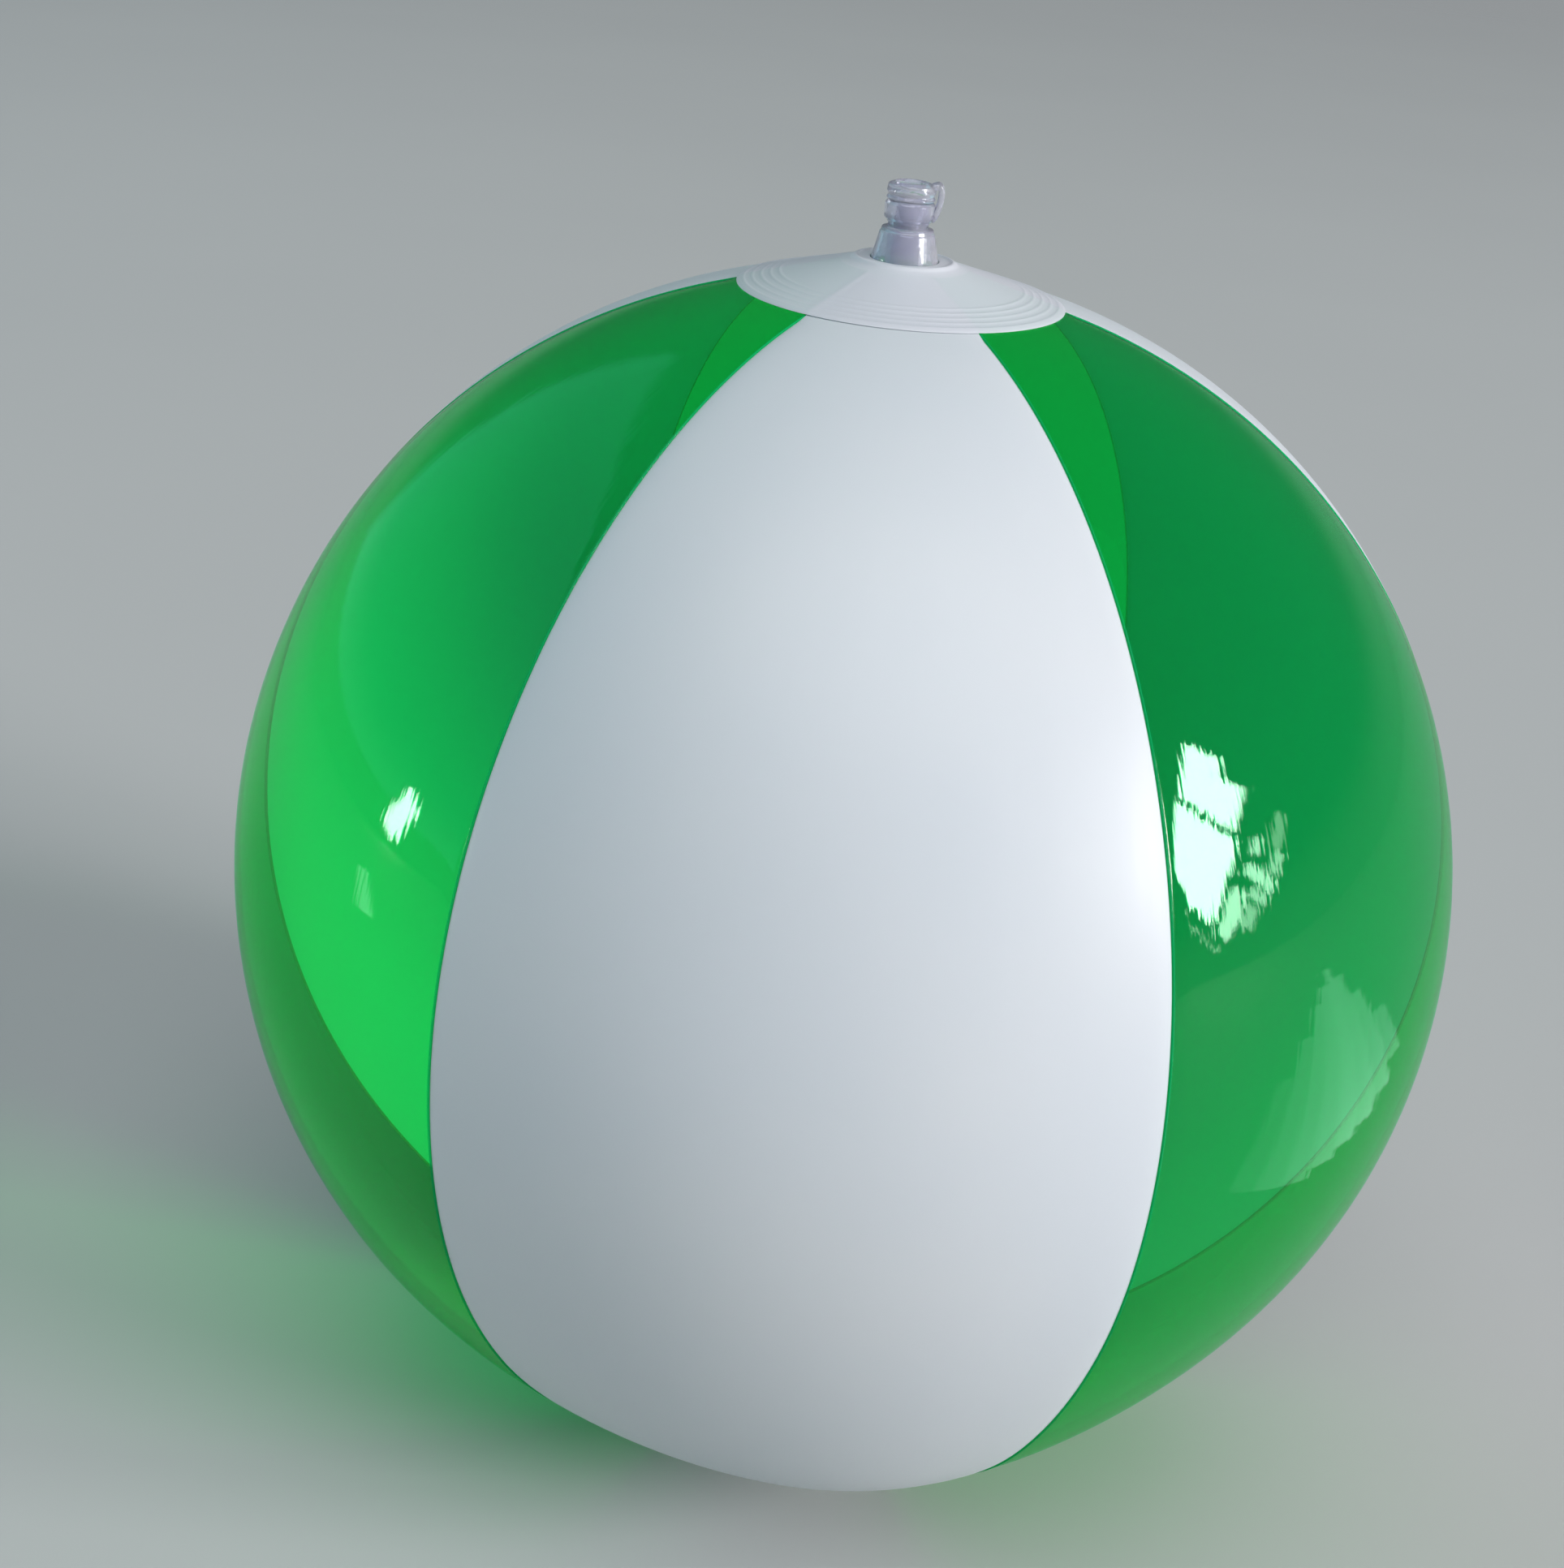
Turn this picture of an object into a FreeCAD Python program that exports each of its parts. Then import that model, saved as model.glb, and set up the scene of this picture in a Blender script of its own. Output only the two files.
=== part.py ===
import FreeCAD, Part
import math
import os
import re

import Sketcher

# Inflatable beach ball: six welded vinyl panels, two polar discs and a stem valve.
#
# The ball stands on its lower disc, with its polar axis upright. +Z runs up that axis and out
# through the valve, and the origin is the middle of the flat patch that the ball rests on.
# One white panel faces -Y. All sizes are in millimetres and degrees.

SIZES = {
    # envelope
    "ball_radius": 140,           # outer face of the panels
    "panel_count": 6,
    "panel_film": 0.25,
    "panel_foot_radius": 20,      # where the panels' lower tips end, under the lower disc
    "panel_tip_radius": 14,       # where their upper tips end, under the upper disc
    "cone_angle": 15.7,           # from the pole: inside it the film is drawn up into a cone
    "contact_radius": 18,         # flat patch that the ball rests on
    # polar discs
    "disc_radius": 35.3,
    "disc_film": 0.3,
    "weld_gap": 0.1,              # glue line between films that lie on each other
    "valve_hole_radius": 7.45,
    # platform that the flange raises in the upper disc
    "flange_rim_radius": 13,
    "platform_radius": 10.3,
    "platform_rise": 0.9,
    # flange welded under the upper disc
    "flange_radius": 12.9,
    "flange_bore_radius": 6.2,
    "flange_thickness": 0.8,
    # skirt
    "skirt_base_radius": 7.25,
    "skirt_top_radius": 5.6,
    "skirt_height": 6.6,
    "skirt_wall": 0.85,
    "skirt_web": 0.8,
    "skirt_mouth_radius": 4.35,
    # tube and collar
    "bore_radius": 3.15,
    "tube_radius": 4.15,
    "tube_depth": 1.6,            # how far the tube hangs below the platform
    "waist_height": 7.1,
    "flare_radius": 5.15,
    "collar_radius": 5.4,
    "collar_base_height": 8.6,
    "collar_top_height": 12.2,
    # plug
    "plug_gap": 0.15,             # between the collar and the cap, when closed
    "cap_radius": 5.2,
    "cap_thickness": 3.4,
    "cap_edge": 0.6,
    "spigot_root_radius": 2.95,
    "spigot_tip_radius": 2.0,
    "spigot_length": 4.0,
    # strap
    "strap_reach": 7.1,           # outer face, from the valve's axis
    "strap_thickness": 0.7,
    "strap_width": 3.0,
    "strap_drop": 2.7,            # how far its ends reach from the middle of the plug gap
    "strap_gap": 0.1,
    # check flap
    "flap_radius": 3.95,
    "flap_thickness": 0.3,
    "flap_gap": 0.08,             # below the tube's lower end
    "flap_tab_reach": 4.95,
    "flap_tab_width": 3.0,
}

# Heights that follow from the sizes. The valve's own parts measure theirs from the platform.
FORMULAS = {
    "disc_outer": "ball_radius + weld_gap + disc_film",
    "disc_inner": "ball_radius + weld_gap",
    "panel_inner": "ball_radius - panel_film",
    "centre_height": "sqrt(disc_outer^2 - contact_radius^2)",
    "rim_height": "centre_height + (disc_outer - flange_rim_radius * sin(cone_angle)) / cos(cone_angle)",
    "platform_height": "rim_height + platform_rise",
    "flange_top": "-disc_film - weld_gap",
    "flange_slope": "platform_rise * (flange_radius - platform_radius) / (flange_rim_radius - platform_radius)",
    "plug_base": "collar_top_height + plug_gap",
    "plug_middle": "collar_top_height + plug_gap / 2",
}

# Each panel's name, with the direction that its middle faces, measured from +X about +Z.
PANELS = {
    "gore_white_front": -90,
    "gore_green_right": -30,
    "gore_white_back_right": 30,
    "gore_green_back": 90,
    "gore_white_back_left": 150,
    "gore_green_left": 210,
}

document = FreeCAD.newDocument("beach_ball")


def fill_sheet():
    """Put every driving dimension in the sheet, its name in column A and its value in B."""
    new_sheet = document.addObject("Spreadsheet::Sheet", "sizes")
    for row, (alias, number) in enumerate(SIZES.items(), start=1):
        new_sheet.set(f"A{row}", alias)
        new_sheet.set(f"B{row}", str(number))
        new_sheet.setAlias(f"B{row}", alias)
    document.recompute()
    return new_sheet


sheet = fill_sheet()


def formula(text):
    """An expression in the sheet's cells, with the names in FORMULAS written out."""
    def write_out(match):
        word = match.group(0)
        if word in FORMULAS:
            return f"({formula(FORMULAS[word])})"
        return f"sizes.{word}" if word in SIZES else word
    return re.sub(r"[a-z_]+", write_out, text)


def value(text):
    return float(sheet.evalExpression(formula(text)))


def cone_height(radius, layer):
    """Height of the cone at the pole, where layer is the radius of the round that it meets."""
    return f"centre_height + ({layer} - {radius} * sin(cone_angle)) / cos(cone_angle)"


def new_body(node):
    body = document.addObject("PartDesign::Body", node)
    body.Label = node
    return body


def new_sketch(body, plane):
    sketch = body.newObject("Sketcher::SketchObject", f"{body.Name}_sketch")
    features = body.Origin.OriginFeatures
    sketch.AttachmentSupport = [(next(item for item in features if item.Role == plane), "")]
    sketch.MapMode = "FlatFace"
    return sketch


def add_size(sketch, kind, places, text):
    """Add a constraint whose size is a formula."""
    index = sketch.addConstraint(Sketcher.Constraint(kind, *places, value(text)))
    sketch.setExpression(f"Constraints[{index}]", formula(text))


def pin_corner(sketch, edge, end, corner):
    """Fix one end of an edge at its distances from the sketch's origin."""
    axes = (("DistanceX", corner[0], -2), ("DistanceY", corner[1], -1))
    for kind, distance, axis in axes:
        if distance == "0":
            sketch.addConstraint(Sketcher.Constraint("PointOnObject", edge, end, axis))
        else:
            add_size(sketch, kind, (-1, 1, edge, end), distance)


def draw_outline(sketch, corners, arcs=None):
    """Close an outline through the corners, given as pairs of formulas.

    arcs gives the radius of each edge that is round about the ball's centre, by the number of
    the corner that the edge starts from.
    """
    arcs = arcs or {}
    centre = FreeCAD.Vector(0, value("centre_height"), 0)
    upright = FreeCAD.Vector(0, 0, 1)
    points = [FreeCAD.Vector(value(across), value(up), 0) for across, up in corners]
    edges = []
    for number, start in enumerate(points):
        finish = points[(number + 1) % len(points)]
        if number in arcs:
            first = math.atan2(start.y - centre.y, start.x)
            last = math.atan2(finish.y - centre.y, finish.x)
            circle = Part.Circle(centre, upright, value(arcs[number]))
            edge = sketch.addGeometry(Part.ArcOfCircle(circle, min(first, last), max(first, last)))
            edges.append((edge, 1, 2) if last > first else (edge, 2, 1))
        else:
            edge = sketch.addGeometry(Part.LineSegment(start, finish))
            edges.append((edge, 1, 2))
    for number, (edge, start, finish) in enumerate(edges):
        next_edge, next_start, _ = edges[(number + 1) % len(edges)]
        sketch.addConstraint(Sketcher.Constraint("Coincident", edge, finish, next_edge, next_start))
        if number in arcs:
            add_size(sketch, "Radius", (edge,), arcs[number])
    for (edge, start, _), corner in zip(edges, corners):
        pin_corner(sketch, edge, start, corner)


def revolve(node, corners, arcs=None, turn="360"):
    """A body turned about the polar axis from an outline in the XZ plane."""
    body = new_body(node)
    sketch = new_sketch(body, "XZ_Plane")
    draw_outline(sketch, corners, arcs)
    solid = body.newObject("PartDesign::Revolution", f"{node}_turned")
    solid.Profile = sketch
    solid.ReferenceAxis = (sketch, ["V_Axis"])
    solid.Midplane = True
    solid.setExpression("Angle", formula(turn))
    sketch.Visibility = False
    return body


def raise_to_platform(body):
    body.setExpression("Placement.Base.z", formula("platform_height"))


def make_panel(node, azimuth):
    """One lune of film, from under the lower disc to under the upper one."""
    foot_drop = "sqrt(ball_radius^2 - panel_foot_radius^2)"
    inner_share = "panel_inner / ball_radius"
    tip_height = cone_height("panel_tip_radius", "ball_radius")
    corners = [
        ("panel_foot_radius", f"centre_height - {foot_drop}"),
        ("ball_radius * sin(cone_angle)", "centre_height + ball_radius * cos(cone_angle)"),
        ("panel_tip_radius", tip_height),
        ("panel_tip_radius - panel_film * sin(cone_angle)",
         f"{tip_height} - panel_film * cos(cone_angle)"),
        ("panel_inner * sin(cone_angle)", "centre_height + panel_inner * cos(cone_angle)"),
        (f"panel_foot_radius * {inner_share}", f"centre_height - {foot_drop} * {inner_share}"),
    ]
    body = revolve(node, corners, {0: "ball_radius", 4: "panel_inner"}, "360 / panel_count")
    body.Placement.Rotation = FreeCAD.Rotation(FreeCAD.Vector(0, 0, 1), azimuth)


def make_bottom_disc():
    """The lower disc: round over the panels' tips, and flat where the ball stands on it."""
    rim_drop = "sqrt(disc_outer^2 - disc_radius^2)"
    inner_share = "disc_inner / disc_outer"
    corners = [
        ("0", "0"),
        ("contact_radius", "0"),
        ("disc_radius", f"centre_height - {rim_drop}"),
        (f"disc_radius * {inner_share}", f"centre_height - {rim_drop} * {inner_share}"),
        ("sqrt(disc_inner^2 - (centre_height - disc_film)^2)", "disc_film"),
        ("0", "disc_film"),
    ]
    revolve("bottom_disc", corners, {1: "disc_outer", 3: "disc_inner"})


def make_top_disc():
    """The upper disc: a cone over the panels' tips, raised to a platform round the valve."""
    rim_height = cone_height("disc_radius", "disc_outer")
    corners = [
        ("valve_hole_radius", "platform_height"),
        ("platform_radius", "platform_height"),
        ("flange_rim_radius", "rim_height"),
        ("disc_radius", rim_height),
        ("disc_radius - disc_film * sin(cone_angle)", f"{rim_height} - disc_film * cos(cone_angle)"),
        ("flange_rim_radius", cone_height("flange_rim_radius", "disc_inner")),
        ("platform_radius", "platform_height - disc_film"),
        ("valve_hole_radius", "platform_height - disc_film"),
    ]
    revolve("top_disc", corners)


def make_flange():
    """The ring that welds the valve to the underside of the upper disc."""
    corners = [
        ("flange_bore_radius", "flange_top"),
        ("platform_radius", "flange_top"),
        ("flange_radius", "flange_top - flange_slope"),
        ("flange_radius", "flange_top - flange_slope - flange_thickness"),
        ("platform_radius", "flange_top - flange_thickness"),
        ("flange_bore_radius", "flange_top - flange_thickness"),
    ]
    raise_to_platform(revolve("valve_flange", corners))


def make_skirt():
    """The soft cone between the flange and the tube, closed at the top by a thin web."""
    corners = [
        ("skirt_base_radius", "flange_top"),
        ("skirt_top_radius", "skirt_height"),
        ("skirt_mouth_radius", "skirt_height"),
        ("skirt_mouth_radius", "skirt_height - skirt_web"),
        ("skirt_top_radius - skirt_wall", "skirt_height - skirt_web"),
        ("skirt_base_radius - skirt_wall", "flange_top"),
    ]
    raise_to_platform(revolve("valve_skirt", corners))


def make_neck():
    """The tube that air is blown through, flared out to the collar round its mouth."""
    corners = [
        ("bore_radius", "-tube_depth"),
        ("tube_radius", "-tube_depth"),
        ("tube_radius", "waist_height"),
        ("flare_radius", "collar_base_height"),
        ("collar_radius", "collar_base_height"),
        ("collar_radius", "collar_top_height"),
        ("bore_radius", "collar_top_height"),
    ]
    raise_to_platform(revolve("valve_neck", corners))


def make_plug():
    """The cap, with the tapered spigot that fills the mouth of the bore."""
    corners = [
        ("0", "plug_base - spigot_length"),
        ("spigot_tip_radius", "plug_base - spigot_length"),
        ("spigot_root_radius", "plug_base"),
        ("cap_radius", "plug_base"),
        ("cap_radius", "plug_base + cap_thickness - cap_edge"),
        ("cap_radius - cap_edge", "plug_base + cap_thickness"),
        ("0", "plug_base + cap_thickness"),
    ]
    raise_to_platform(revolve("valve_plug", corners))


def make_strap():
    """The flat loop that ties the cap to the collar, on the +X side."""
    inner_reach = "strap_reach - strap_thickness"
    corners = [
        ("collar_radius + strap_gap", "plug_middle - strap_drop"),
        ("strap_reach", "plug_middle - strap_drop"),
        ("strap_reach", "plug_middle + strap_drop"),
        ("cap_radius + strap_gap", "plug_middle + strap_drop"),
        ("cap_radius + strap_gap", "plug_middle + strap_drop - strap_thickness"),
        (inner_reach, "plug_middle + strap_drop - strap_thickness"),
        (inner_reach, "plug_middle - strap_drop + strap_thickness"),
        ("collar_radius + strap_gap", "plug_middle - strap_drop + strap_thickness"),
    ]
    body = new_body("plug_strap")
    sketch = new_sketch(body, "XZ_Plane")
    draw_outline(sketch, corners)
    solid = body.newObject("PartDesign::Pad", "plug_strap_pad")
    solid.Profile = sketch
    solid.SideType = "Symmetric"
    solid.setExpression("Length", formula("strap_width"))
    raise_to_platform(body)


def make_flap():
    """The round flap under the tube's lower end, with the tab that hinges it on the -X side."""
    body = new_body("check_flap")
    round_sketch = new_sketch(body, "XY_Plane")
    upright = FreeCAD.Vector(0, 0, 1)
    circle = round_sketch.addGeometry(Part.Circle(FreeCAD.Vector(), upright, value("flap_radius")))
    round_sketch.addConstraint(Sketcher.Constraint("Coincident", circle, 3, -1, 1))
    add_size(round_sketch, "Radius", (circle,), "flap_radius")
    tab_sketch = new_sketch(body, "XY_Plane")
    tab_corners = [
        ("-flap_tab_reach", "-flap_tab_width / 2"),
        ("0", "-flap_tab_width / 2"),
        ("0", "flap_tab_width / 2"),
        ("-flap_tab_reach", "flap_tab_width / 2"),
    ]
    draw_outline(tab_sketch, tab_corners)
    for sketch in (round_sketch, tab_sketch):
        solid = body.newObject("PartDesign::Pad", f"{sketch.Name}_pad")
        solid.Profile = sketch
        solid.setExpression("Length", formula("flap_thickness"))
    level = "platform_height - tube_depth - flap_gap - flap_thickness"
    body.setExpression("Placement.Base.z", formula(level))


def check_objects():
    """Stop on any object that failed, or any sub-part whose shape isn't one sound solid."""
    for item in document.Objects:
        if "Invalid" in item.State or "Error" in item.State:
            raise RuntimeError(f"{item.Label} failed: {item.State}")
    for body in document.findObjects("PartDesign::Body"):
        shape = body.Shape
        if shape.isNull() or not shape.isValid() or len(shape.Solids) != 1:
            raise RuntimeError(f"{body.Label} isn't one valid solid")


def write_parts():
    os.makedirs("parts", exist_ok=True)
    for body in document.findObjects("PartDesign::Body"):
        body.Shape.exportStep(f"parts/{body.Label}.step")
        box = body.Shape.BoundBox
        print(f"{body.Label}: {body.Shape.Volume:.1f} mm3, z {box.ZMin:.2f} to {box.ZMax:.2f}")


for panel_name, panel_azimuth in PANELS.items():
    make_panel(panel_name, panel_azimuth)
make_bottom_disc()
make_top_disc()
make_flange()
make_skirt()
make_neck()
make_plug()
make_strap()
make_flap()
document.recompute()
check_objects()
write_parts()
print(f"platform at {value('platform_height'):.4f} mm, centre at {value('centre_height'):.4f} mm")
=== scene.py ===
import math

import bpy
import numpy as np
from mathutils import Matrix, Quaternion, Vector, noise
from mathutils.geometry import interpolate_bezier


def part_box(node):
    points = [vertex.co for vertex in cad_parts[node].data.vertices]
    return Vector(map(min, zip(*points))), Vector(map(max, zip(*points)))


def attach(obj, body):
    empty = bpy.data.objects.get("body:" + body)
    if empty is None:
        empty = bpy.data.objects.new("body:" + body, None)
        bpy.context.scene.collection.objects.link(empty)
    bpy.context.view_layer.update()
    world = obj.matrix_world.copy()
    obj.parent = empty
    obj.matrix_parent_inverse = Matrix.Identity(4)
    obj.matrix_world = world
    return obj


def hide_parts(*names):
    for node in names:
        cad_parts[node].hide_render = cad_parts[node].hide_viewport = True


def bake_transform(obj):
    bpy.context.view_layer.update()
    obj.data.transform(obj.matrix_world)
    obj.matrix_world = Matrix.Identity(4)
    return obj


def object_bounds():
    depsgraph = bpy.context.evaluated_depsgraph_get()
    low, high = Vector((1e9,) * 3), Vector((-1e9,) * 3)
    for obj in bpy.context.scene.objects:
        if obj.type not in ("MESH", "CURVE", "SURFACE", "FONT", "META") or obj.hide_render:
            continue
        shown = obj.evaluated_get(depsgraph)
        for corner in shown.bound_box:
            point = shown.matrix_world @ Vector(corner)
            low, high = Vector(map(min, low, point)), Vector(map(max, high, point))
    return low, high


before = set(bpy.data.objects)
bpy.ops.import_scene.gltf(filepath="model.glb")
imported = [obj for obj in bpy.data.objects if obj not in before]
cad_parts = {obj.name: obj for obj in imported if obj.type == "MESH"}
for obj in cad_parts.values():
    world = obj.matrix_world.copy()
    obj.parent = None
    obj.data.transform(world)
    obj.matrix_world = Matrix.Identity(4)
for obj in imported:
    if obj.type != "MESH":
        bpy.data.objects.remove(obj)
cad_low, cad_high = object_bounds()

# An inflated beach ball of six vinyl panels, with a disc over each pole and a stem valve.
# Everything is in metres, in the CAD frame: the ball stands on the origin, +Z runs up its polar
# axis, and the middle of the front white panel faces -Y.

MM = 0.001

# --- Sizes of the ball, from the frame -------------------------------------------------------

BALL_RADIUS = (cad_high.x - cad_low.x) / 2
DISC_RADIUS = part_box("top_disc")[1].x
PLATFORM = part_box("top_disc")[1].z
CONTACT_RADIUS = 18 * MM
WELD_GAP = 0.1 * MM
DISC_FILM = 0.3 * MM
PANEL_FILM = 0.25 * MM
DISC_OUTER = BALL_RADIUS + WELD_GAP + DISC_FILM
CENTRE = Vector((0, 0, math.sqrt(DISC_OUTER ** 2 - CONTACT_RADIUS ** 2)))
CONE_ANGLE = math.radians(15.7)        # from the pole: inside it the film is drawn up to a cone
PANEL_TIP_RADIUS = 14 * MM
PANEL_FOOT_RADIUS = 20 * MM
HALF_PANEL = math.radians(30)
PLATFORM_RADIUS = 10.3 * MM
FLANGE_RIM_RADIUS = 13 * MM
VALVE_HOLE_RADIUS = 7.45 * MM

# Each panel's node, with the direction that its middle faces, measured from +X about +Z.
PANELS = {
    "gore_white_front": -90,
    "gore_green_right": -30,
    "gore_white_back_right": 30,
    "gore_green_back": 90,
    "gore_white_back_left": 150,
    "gore_green_left": 210,
}

# --- Mesh helpers ----------------------------------------------------------------------------

ON_AXIS = 1e-7                         # a radius below this is a point on the axis


def new_object(name, points, faces, body, nodes, material):
    """A smooth mesh piece that rides on a body and stands for CAD nodes."""
    mesh = bpy.data.meshes.new(name)
    mesh.from_pydata([tuple(point) for point in points], [], faces)
    mesh.validate()
    mesh.polygons.foreach_set("use_smooth", [True] * len(mesh.polygons))
    mesh.update()
    piece = bpy.data.objects.new(name, mesh)
    bpy.context.scene.collection.objects.link(piece)
    piece.data.materials.append(material)
    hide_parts(*nodes)
    if body:
        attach(piece, body)
    return piece


def shell_faces(rows, columns):
    """Faces of a closed shell: an outer grid of points, then the same grid inside it."""
    inside = rows * columns
    faces = []
    for row in range(rows - 1):
        for column in range(columns - 1):
            corner = row * columns + column
            quad = (corner, corner + columns, corner + columns + 1, corner + 1)
            faces.append(quad)
            faces.append(tuple(inside + index for index in reversed(quad)))
    rim = list(range(columns))
    rim += [row * columns + columns - 1 for row in range(1, rows)]
    rim += [(rows - 1) * columns + column for column in range(columns - 2, -1, -1)]
    rim += [row * columns for row in range(rows - 2, 0, -1)]
    for start, finish in zip(rim, rim[1:] + rim[:1]):
        faces.append((start, finish, inside + finish, inside + start))
    return faces


def lathe(outline, steps, relief=None):
    """Points and faces of an outline turned about Z.

    outline is a closed loop of (radius, height), or a line from the axis back to the axis.
    relief(radius, height, turn) gives a new radius and height for each point.
    """
    points = []
    rings = []
    for radius, height in outline:
        if radius < ON_AXIS:
            rings.append([len(points)] * steps)
            points.append((0, 0, height))
            continue
        ring = []
        for step in range(steps):
            turn = 2 * math.pi * step / steps
            out, up = relief(radius, height, turn) if relief else (radius, height)
            ring.append(len(points))
            points.append((out * math.cos(turn), out * math.sin(turn), up))
        rings.append(ring)
    closes_on_axis = outline[0][0] < ON_AXIS and outline[-1][0] < ON_AXIS
    pairs = list(zip(rings, rings[1:]))
    if not closes_on_axis:
        pairs.append((rings[-1], rings[0]))
    faces = []
    for low, high in pairs:
        for step in range(steps):
            after = (step + 1) % steps
            quad = [low[step], low[after], high[after], high[step]]
            corners = [index for place, index in enumerate(quad) if index not in quad[:place]]
            if len(corners) > 2:
                faces.append(tuple(corners))
    return points, faces


def rounded(corners, arc_steps=5):
    """An outline with each corner (radius, height, fillet) rounded by an arc of its fillet."""
    line = []
    count = len(corners)
    for number, (across, up, fillet) in enumerate(corners):
        here = Vector((across, up))
        if fillet <= 0:
            line.append(tuple(here))
            continue
        before = Vector(corners[number - 1][:2]) - here
        after = Vector(corners[(number + 1) % count][:2]) - here
        half_turn = before.angle(after) / 2
        reach = min(fillet / math.tan(half_turn), 0.49 * before.length, 0.49 * after.length)
        start = here + before.normalized() * reach
        finish = here + after.normalized() * reach
        for step in range(arc_steps + 1):
            share = step / arc_steps
            line.append(tuple(start.lerp(here, share).lerp(here.lerp(finish, share), share)))
    return line


# --- Shape of the envelope -------------------------------------------------------------------


def cone_height(radius, layer):
    """Height of the cone at the pole, for the layer of film that lies on that sphere."""
    return CENTRE.z + (layer - radius * math.sin(CONE_ANGLE)) / math.cos(CONE_ANGLE)


def bump(distance, width):
    """A smooth hump of height 1 that fades within about twice its width."""
    return np.exp(-((distance / width) ** 2))


# The film isn't a perfect sphere: it sags out a little low on the front, where the ball's
# weight presses, and ripples gently everywhere.
SAG_DIRECTION = (math.radians(-72), math.radians(-52))      # turn about Z, latitude
SAG_DEPTH = 2.6 * MM
SAG_WIDTH = math.radians(17)
BELLY_DEPTH = 1.1 * MM                 # a wider, lower fold of the sag along the front
BELLY_HALF_TURN = math.radians(50)
BELLY_HALF_LATITUDE = math.radians(14)
RIPPLE_DEPTH = 0.05 * MM
RIPPLE_LENGTH = 30 * MM
PANEL_CROWN = 0.5 * MM                 # how far each panel's middle stands out past its seams


def form_relief(turn, latitude, local_turn):
    """Outward offset of the film from the plain ball, for arrays of directions."""
    sag_turn, sag_latitude = SAG_DIRECTION
    closeness = (np.sin(latitude) * np.sin(sag_latitude)
                 + np.cos(latitude) * np.cos(sag_latitude) * np.cos(turn - sag_turn))
    away = np.arccos(np.clip(closeness, -1, 1))
    across = np.arctan2(np.sin(turn - sag_turn), np.cos(turn - sag_turn))
    belly = bump(across, BELLY_HALF_TURN) * bump(latitude - sag_latitude, BELLY_HALF_LATITUDE)
    crown = np.cos(local_turn / HALF_PANEL * math.pi / 2) * np.cos(latitude) ** 2
    return SAG_DEPTH * bump(away, SAG_WIDTH) + BELLY_DEPTH * belly + PANEL_CROWN * crown


def ripple(points):
    """Slow unevenness of blown-up film, the same at the same place on every layer."""
    depths = np.empty(len(points))
    for index, point in enumerate(points):
        depths[index] = noise.noise(Vector(point) / RIPPLE_LENGTH)
    return depths * RIPPLE_DEPTH


CONE_ROWS = 16
ROUND_ROWS = 130
# Distances from a seam, in mm, of the columns that shape its weld.
EDGE_COLUMNS = (0, 0.1, 0.2, 0.32, 0.44, 0.56, 0.72, 1.0, 1.6, 2.6, 4.2)
MIDDLE_COLUMNS = 30
WELD_VALLEY = 0.35 * MM
WELD_VALLEY_WIDTH = 1.8 * MM
WELD_BEAD_HEIGHT = 0.34 * MM
WELD_BEAD_MIDDLE = 0.26 * MM
WELD_BEAD_WIDTH = 0.22 * MM
DISC_FADE = 2 * MM                     # the relief dies away over this before it goes under a disc


def meridian():
    """Stations from a panel's upper tip to its foot: radius, height and the normal's angle."""
    cone_radius = BALL_RADIUS * math.sin(CONE_ANGLE)
    foot_angle = math.pi - math.asin(PANEL_FOOT_RADIUS / BALL_RADIUS)
    stations = []
    for radius in np.linspace(PANEL_TIP_RADIUS, cone_radius, CONE_ROWS, endpoint=False):
        stations.append((radius, cone_height(radius, BALL_RADIUS), CONE_ANGLE))
    for angle in np.linspace(CONE_ANGLE, foot_angle, ROUND_ROWS):
        height = CENTRE.z + BALL_RADIUS * math.cos(angle)
        stations.append((BALL_RADIUS * math.sin(angle), height, angle))
    return np.array(stations)


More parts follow.
